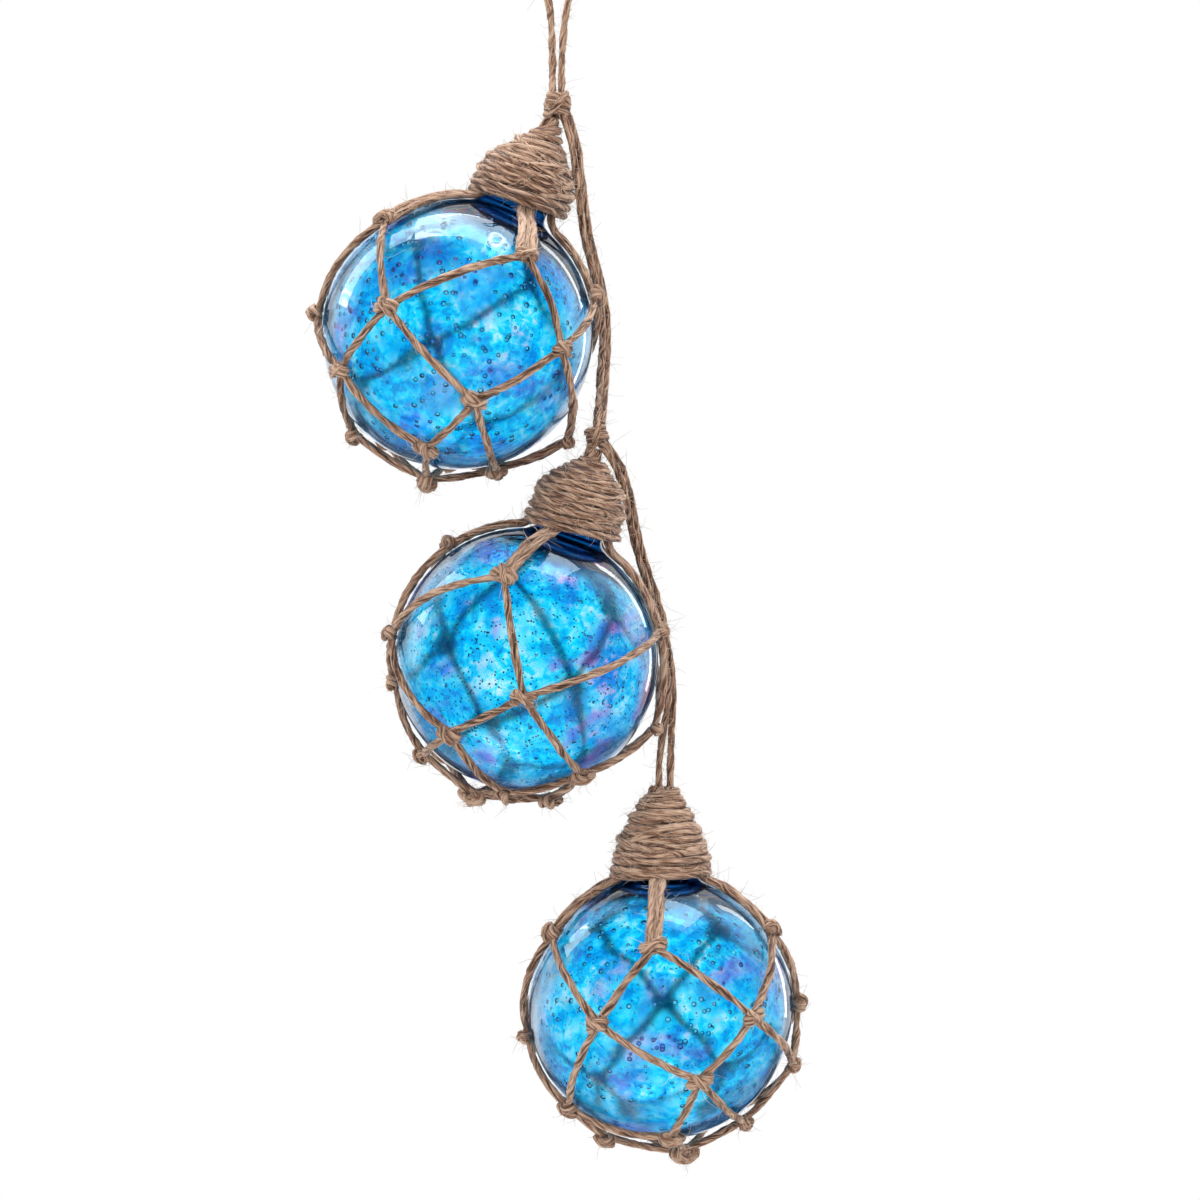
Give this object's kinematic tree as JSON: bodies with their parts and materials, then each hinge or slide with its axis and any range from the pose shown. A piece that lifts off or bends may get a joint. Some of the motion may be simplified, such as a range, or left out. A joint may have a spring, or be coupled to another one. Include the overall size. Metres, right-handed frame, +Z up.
{
  "type": "hanging glass float string",
  "caption": "Blue glass fishing-float balls in knotted jute twine nets with whipped twine caps, tied in a line below one hanging loop.",
  "frame": {"origin": "inside the crown of the hanging loop, where the hook or nail that carries the string of floats sits", "axes": "+Z up, -Y towards the front, +X to the right of the front"},
  "size_m": [0.1482, 0.0925, 0.3634],
  "materials": {
    "blue_glass": "clear aqua-blue blown glass, gloss, with seed bubbles and a faint iridescent lustre",
    "jute_twine": "natural plied jute, matt and hairy"
  },
  "bodies": {
    "root": {"glass_float_upper": "blue_glass", "net_upper": "jute_twine", "whipped_cap_upper": "jute_twine", "glass_float_middle": "blue_glass", "net_middle": "jute_twine", "whipped_cap_middle": "jute_twine", "glass_float_lower": "blue_glass", "net_lower": "jute_twine", "whipped_cap_lower": "jute_twine", "knot_upper": "jute_twine", "knot_middle": "jute_twine", "hanging_loop": "jute_twine", "string_upper_left": "jute_twine", "string_upper_right": "jute_twine", "string_lower_left": "jute_twine", "string_lower_right": "jute_twine"}
  },
  "joints": []
}
